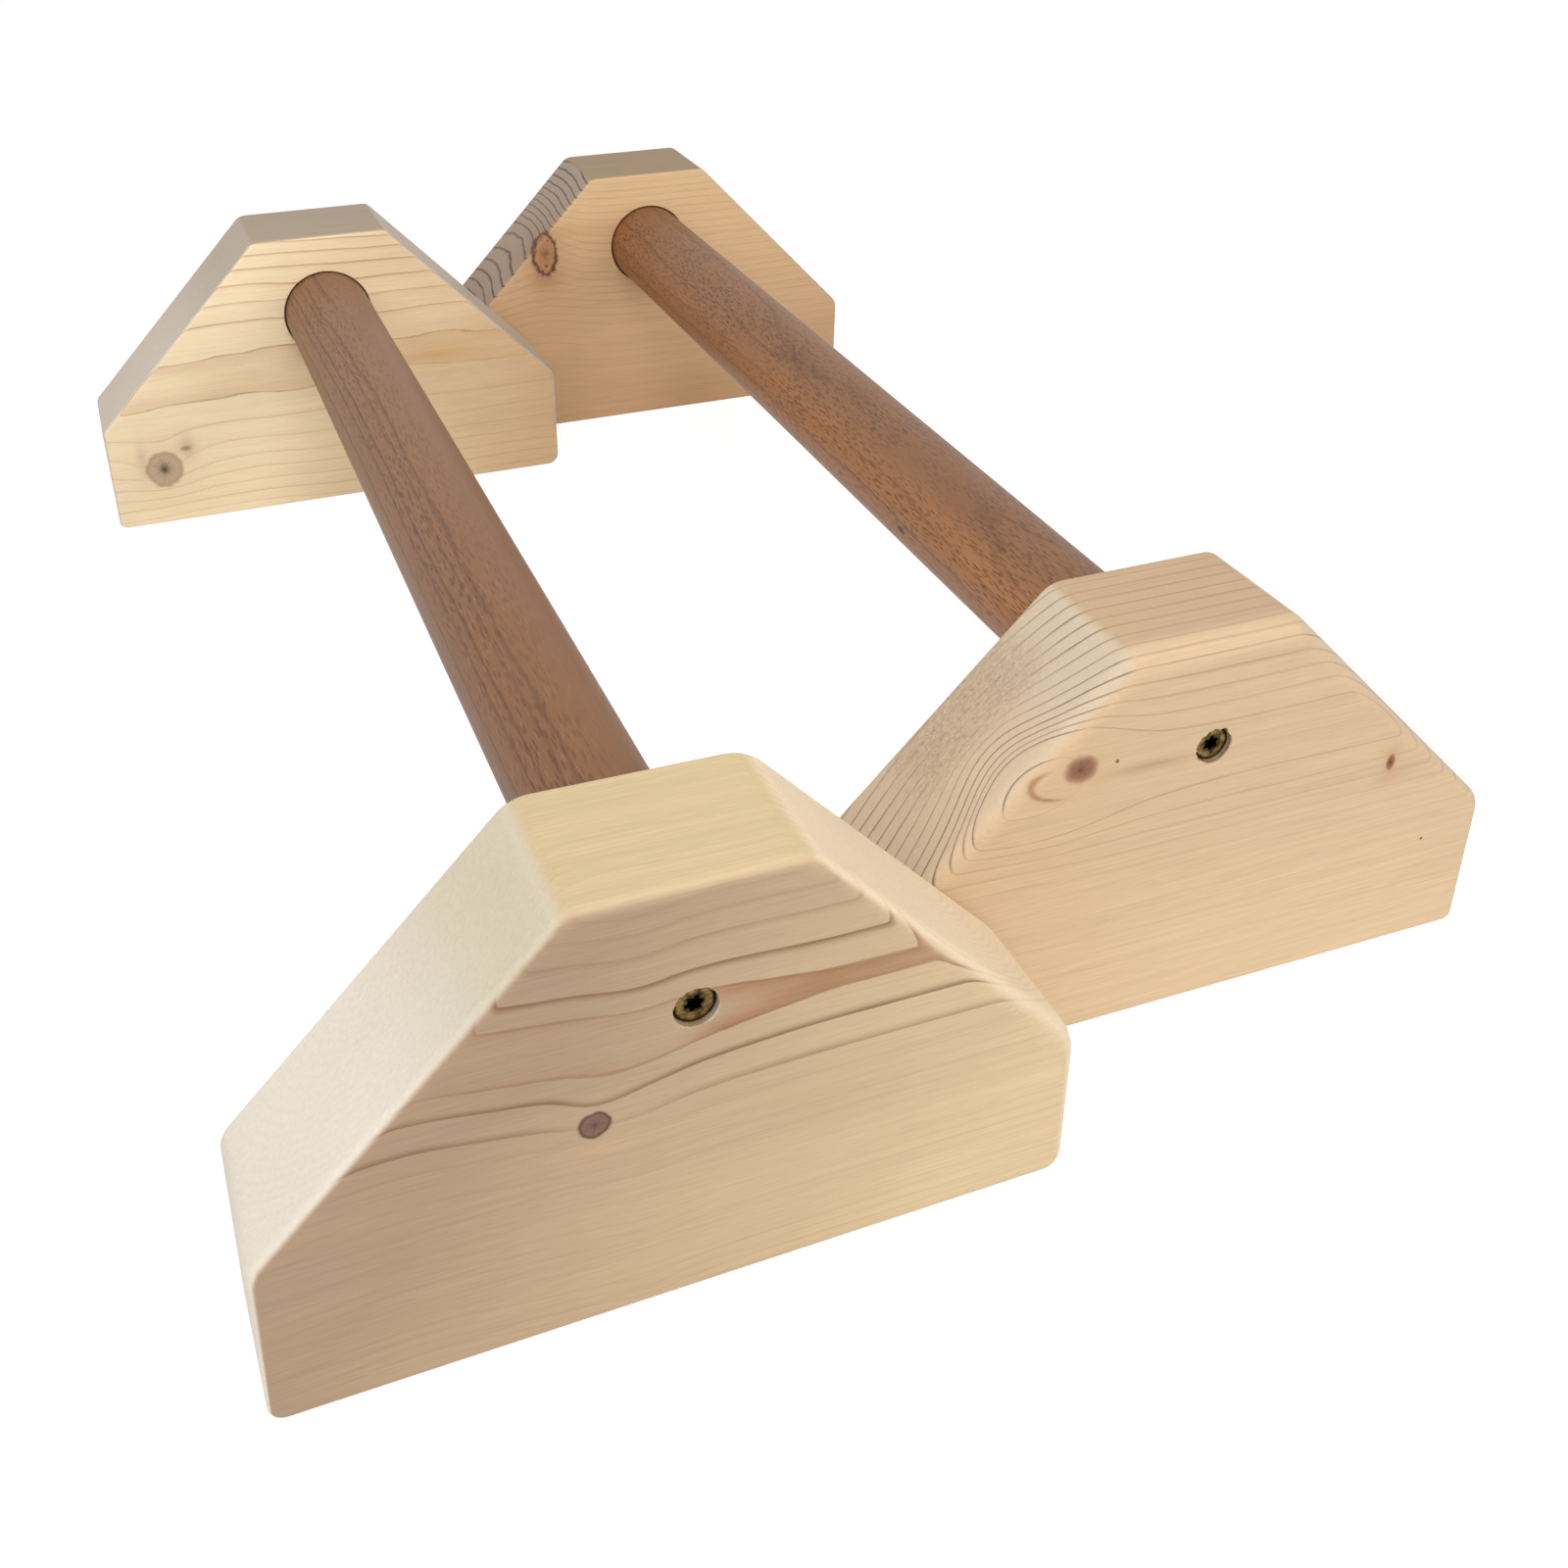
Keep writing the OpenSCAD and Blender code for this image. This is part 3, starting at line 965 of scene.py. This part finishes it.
# Beech. x and z run from the bar's axis, y along it from the front foot's outer face, and arc
# round it from its top, to the left, all in mm. The keys of a dowel:
#   pith: x and z of the pith
#   borders, core, width, wander: as on the boards
#   jagged: how ragged the lines are
#   drift: the rings' shift along the bar: amount, from y and to y
#   line, lines: the lines' width and share
#   only: the lines start between these two places of arc
#   crowd: where the flecks crowd, in units of 14 mm of arc, and their share elsewhere
#   fleck, cells, size: the flecks' share, how close they lie across and along, and their size
#   orange: the two places of arc between which the first tone gives way to the second
#   tones: first tone near and far from the front, second tone near and far
#   knots: y, arc and both radii

DOWEL_LOOKS = {
    "left": dict(
        seed=60.0, pith=(-10, -60), borders=(66.6, 71.4, 73.5, 76.2, 77.5), core=5.0, width=2.4,
        wander=0.55, jagged=0.28, drift=((2.2, 330, 480),), line=0.3, lines=0.68,
        only=(1.0, 5.0), crowd=(0.75, 0.1), fleck=0.6, cells=(1.15, 0.15), size=0.46,
        orange=(-18, -30),
        tones=((131, 89, 54), (146, 104, 74), (136, 95, 62), (150, 105, 70)), knots=()),
    "right": dict(
        seed=71.0, pith=(12, -40), borders=(52, 57), core=5.0, width=4.6, wander=2.2, jagged=0.5,
        drift=((-4.0, 40, 160), (3.0, 200, 440)), line=0.35, lines=0.45, crowd=(0.6, 0.9),
        fleck=0.75, cells=(1.5, 0.21), size=0.48, orange=(8, 24),
        tones=((136, 94, 62), (148, 102, 63), (178, 123, 79), (163, 109, 68)),
        knots=((150.6, 31.0, 2.9, 1.3),)),
}

CROWD_UNIT = 14.0
BEECH_LINE = linear(96, 58, 36)
BEECH_FLECK_SHEEN = linear(190, 146, 112)
BEECH_FLECK = linear(78, 42, 24)
BEECH_HALO = linear(150, 100, 66)
BEECH_KNOT = linear(62, 36, 24)


def flecks(spot, cells, size, seed):
    """Short thin spots drawn out along the bar, each a little askew."""
    across, along = cells
    node = spot.tree.nodes.new("ShaderNodeTexVoronoi")
    shifted = spot.vector_math("ADD", (seed, 0.0, seed * 1.3))
    drawn = shifted.vector_math("MULTIPLY", (across, along, across))
    bent = spot.noise((0.3, 0.1, 0.3), 1.0, 0.5, seed) * 0.2
    spot.feed(node, "Vector", drawn.vector_math("ADD", bent))
    node.inputs["Scale"].default_value = 1.0
    node.inputs["Randomness"].default_value = 1.0
    return Field(spot.tree, node.outputs["Distance"]).smooth(size, size * 0.5)


def beech(node, look):
    """Steamed beech: brown, with short dark flecks and, where it is plain-sawn, long lines."""
    low, high = box_mm(node)
    seed = look["seed"]
    material, tree = new_material(node + "_beech")
    spot = spot_mm(tree, ((low.x + high.x) / 2, low.y - WEB_T, BAR_Z))
    x, y, z = spot.split()
    arc = x.math("ARCTAN2", z) * -BAR_R
    pith_x, pith_z = look["pith"]
    wander = spot.noise((0.05, 0.016, 0.05), 2.0, 0.5, seed)
    radius = hypot(x - pith_x, z - pith_z) + wander * look["wander"]
    for amount, start, end in look["drift"]:
        radius = radius + y.smooth(start, end) * amount
    radius = radius + spot.noise((0.3, 0.07, 0.3), 2.0, 0.6, seed + 6) * look["jagged"]
    count, wide = count_rings(radius, look["borders"], look["core"], look["width"])
    in_ring = count.math("FRACT")
    line = ((1.0 - in_ring) * wide / look["line"] - 0.8).bell() * count.random(seed).lifted(0.5)
    unseen = arc.smooth(-22.0, -32.0)
    if "only" in look:
        line = line * arc.smooth(*look["only"]).math("MAXIMUM", unseen)
    shade = in_ring.smooth(0.2, 1.0)
    fibre = spot.noise((2.4, 0.1, 2.4), 4.0, 0.7, seed + 1)
    cloud = spot.noise((0.05, 0.01, 0.05), 2.0, 0.5, seed + 2)

    at, elsewhere = look["crowd"]
    crowd = (arc / CROWD_UNIT - at).bell().lifted(elsewhere).math("MAXIMUM", unseen * 0.8)
    crowd = crowd * spot.noise((0.07, 0.02, 0.07), 2.0, 0.5, seed + 3).smooth(-1.2, 0.4)
    across, along = look["cells"]
    dark = flecks(spot, (across, along), look["size"], seed + 4) * crowd
    pale = flecks(spot, (across * 0.9, along * 0.8), 0.36, seed + 9) * crowd

    near_top, far_top, near_side, far_side = (linear(*c) for c in look["tones"])
    far = y.smooth(60.0, 400.0)
    top, side = far.mix(near_top, far_top), far.mix(near_side, far_side)
    plain = arc.smooth(*look["orange"]).mix(top, side)
    colour = (line * look["lines"] + shade * 0.08).math("MINIMUM", 1.0).mix(plain, BEECH_LINE)
    colour = colour.brighter(fibre * 0.2 + cloud * 0.08)
    # Painted sheen: pale flecks lighten the colour in place of the rays' shine.
    colour = (pale * 0.2).mix(colour, BEECH_FLECK_SHEEN)
    colour = (dark * look["fleck"]).mix(colour, BEECH_FLECK)
    height = fibre * 0.6 - dark * 1.6 - line * 0.6
    for at_y, at_arc, size_y, size_arc in look["knots"]:
        away = hypot((y - at_y) / size_y, (arc - at_arc) / size_arc)
        core = away.smooth(1.1, 0.7)
        colour = (away.smooth(2.4, 1.0) * 0.3).mix(colour, BEECH_HALO)
        colour = (core * 0.9).mix(colour, BEECH_KNOT)
        height = height - core * 2.0
    surface(tree, colour, fibre * 0.05 + 0.5, height, WOOD_RELIEF, specular=0.4)
    return material


# Screws' steel

ZINC_LIGHT = linear(158, 132, 76)
ZINC_DARK = linear(120, 96, 50)
HEAD_DARK = linear(48, 38, 26)
RECESS_SHADE = linear(16, 12, 9)


def screw_steel(node):
    """Yellow-passivated steel, with painted shade in its recess, and darker at the head's rim and
    round the recess.
    """
    low, high = box_mm(node)
    front = "front" in node
    origin = ((low.x + high.x) / 2, low.y if front else high.y, SCREW_Z)
    material, tree = new_material(node + "_zinc")
    spot = spot_mm(tree, origin)
    x, y, z = spot.split()
    depth = y * (1 if front else -1)
    radius = hypot(x, z)
    wear = spot.noise((0.55, 0.55, 0.55), 3.0, 0.6, 5.0 + low.x)
    scratch = spot.noise((4.0, 1.0, 0.7), 2.0, 0.6, 9.0)
    on_head = depth.smooth(9.0, 6.0)
    # Painted shade: the star recess is coloured near black.
    recess = depth.smooth(0.04, 0.3) * radius.smooth(2.7, 2.4)
    rim = radius.smooth(SCREW_HEAD_R - 0.9, SCREW_HEAD_R - 0.1) * on_head
    # Darker, rougher and lower where noise, the head's rim and the middle round the recess add up.
    head_darkening = (wear + rim * 1.4 + radius.smooth(3.6, 2.0) * 0.7).smooth(-0.4, 0.9) * on_head
    colour = wear.smooth(-0.8, 0.6).mix(ZINC_LIGHT, ZINC_DARK)
    colour = head_darkening.mix(colour, HEAD_DARK).brighter(scratch * 0.2)
    colour = (recess * 0.96).mix(colour, RECESS_SHADE)
    roughness = wear * 0.1 + head_darkening * 0.15 + 0.36
    surface(tree, colour, roughness, scratch * 0.5 - head_darkening, STEEL_RELIEF, metallic=1.0)
    return material


# The object

BODIES = {"left": "left_parallette", "right": "right_parallette"}
SCREW_TURNS = {"left_front": 0.2, "left_rear": 0.7, "right_front": 0.5, "right_rear": 1.0}

for side, body in BODIES.items():
    for end in ("front", "rear"):
        foot = f"{side}_{end}_foot"
        make_foot(foot, body, GRAIN[foot]["seed"]).data.materials.append(pine(foot))
        screw = f"{side}_{end}_screw"
        turn = SCREW_TURNS[f"{side}_{end}"]
        make_screw(screw, body, turn).data.materials.append(screw_steel(screw))
    bar = f"{side}_bar"
    look = DOWEL_LOOKS[side]
    make_dowel(bar, body, look["seed"]).data.materials.append(beech(bar, look))


# Camera, at the photograph's viewing angle

CAMERA_AT = Vector((-169.99, -534.08, 336.5)) * MM
CAMERA_AIM = Vector((4.11, -92.25, 60.0)) * MM
CAMERA_ROLL = math.radians(0.271)
LENS = 39.212
SENSOR = 36.0
SHIFT = (0.023, -0.0938)

camera = add_object("camera", bpy.data.cameras.new("camera"))
camera.location = CAMERA_AT
camera.rotation_mode = "QUATERNION"
level = (CAMERA_AIM - CAMERA_AT).to_track_quat("-Z", "Y")
camera.rotation_quaternion = level @ Quaternion((0, 0, 1), CAMERA_ROLL)
camera.data.lens = LENS
camera.data.sensor_width = SENSOR
camera.data.shift_x, camera.data.shift_y = SHIFT
camera.data.clip_start = 0.01
bpy.context.scene.camera = camera


# Floor, background and light

FLOOR_REACH = 4.0
FLOOR_GREY = 0.86
SEEN_GREY = 0.3
SEEN_GLOW = 0.86
SURROUND_STRENGTH = 0.45

# Name, place, aim, size and watts of each lamp, in metres
LAMPS = (
    ("front_fill", (0.9, -2.2, 0.6), (0.0, 0.0, 0.06), 1.4, 14.0),
    ("right_fill", (0.5, -0.95, 0.3), (0.0, -0.2, 0.06), 0.5, 0.8),
    ("near_top", (-0.1, -0.3, 0.62), (0.0, 0.0, 0.06), 0.32, 1.6),
    ("left_key", (-0.95, -0.62, 0.85), (-0.1, -0.2, 0.06), 0.6, 3.0),
)


def seen_straight(nodes, links):
    """1 for rays from the camera and for those that mirror or pass through something."""
    path = nodes.new("ShaderNodeLightPath")
    share = path.outputs["Is Camera Ray"]
    for ray in ("Is Glossy Ray", "Is Transmission Ray"):
        larger = nodes.new("ShaderNodeMath")
        larger.operation = "MAXIMUM"
        links.new(share, larger.inputs[0])
        links.new(path.outputs[ray], larger.inputs[1])
        share = larger.outputs[0]
    return share


def make_floor():
    """A wide pale floor, which looks white and keeps the object's shadow."""
    bm = bmesh.new()
    bmesh.ops.create_grid(bm, x_segments=1, y_segments=1, size=FLOOR_REACH)
    mesh = bpy.data.meshes.new("floor")
    bm.to_mesh(mesh)
    bm.free()
    floor = add_object("floor", mesh)
    material, tree = new_material("floor_white")
    nodes, links = tree.nodes, tree.links
    matte = nodes.new("ShaderNodeBsdfDiffuse")
    matte.inputs["Color"].default_value = (FLOOR_GREY, FLOOR_GREY, FLOOR_GREY, 1.0)
    dim = nodes.new("ShaderNodeBsdfDiffuse")
    dim.inputs["Color"].default_value = (SEEN_GREY, SEEN_GREY, SEEN_GREY, 1.0)
    glow = nodes.new("ShaderNodeEmission")
    glow.inputs["Strength"].default_value = SEEN_GLOW
    seen = nodes.new("ShaderNodeAddShader")
    links.new(dim.outputs[0], seen.inputs[0])
    links.new(glow.outputs[0], seen.inputs[1])
    pick = nodes.new("ShaderNodeMixShader")
    links.new(seen_straight(nodes, links), pick.inputs[0])
    links.new(matte.outputs[0], pick.inputs[1])
    links.new(seen.outputs[0], pick.inputs[2])
    output = nodes.new("ShaderNodeOutputMaterial")
    links.new(pick.outputs[0], output.inputs[0])
    mesh.materials.append(material)


def make_world():
    """A plain soft surround that the camera and reflections see as white."""
    world = bpy.data.worlds.new("surround")
    bpy.context.scene.world = world
    world.use_nodes = True
    nodes, links = world.node_tree.nodes, world.node_tree.links
    background = nodes["Background"]
    strengths = nodes.new("ShaderNodeMix")
    strengths.inputs[2].default_value = SURROUND_STRENGTH
    strengths.inputs[3].default_value = 1.0
    links.new(seen_straight(nodes, links), strengths.inputs[0])
    links.new(strengths.outputs[0], background.inputs["Strength"])
    background.inputs["Color"].default_value = (1.0, 1.0, 1.0, 1.0)


def make_lamp(name, at, aim, size, watts):
    data = bpy.data.lights.new(name, "AREA")
    data.shape = "SQUARE"
    data.size = size
    data.energy = watts
    lamp = add_object(name, data)
    lamp.location = at
    lamp.rotation_mode = "QUATERNION"
    lamp.rotation_quaternion = (Vector(aim) - Vector(at)).to_track_quat("-Z", "Y")


make_floor()
make_world()
for lamp in LAMPS:
    make_lamp(*lamp)

bpy.context.scene.view_settings.view_transform = "Standard"
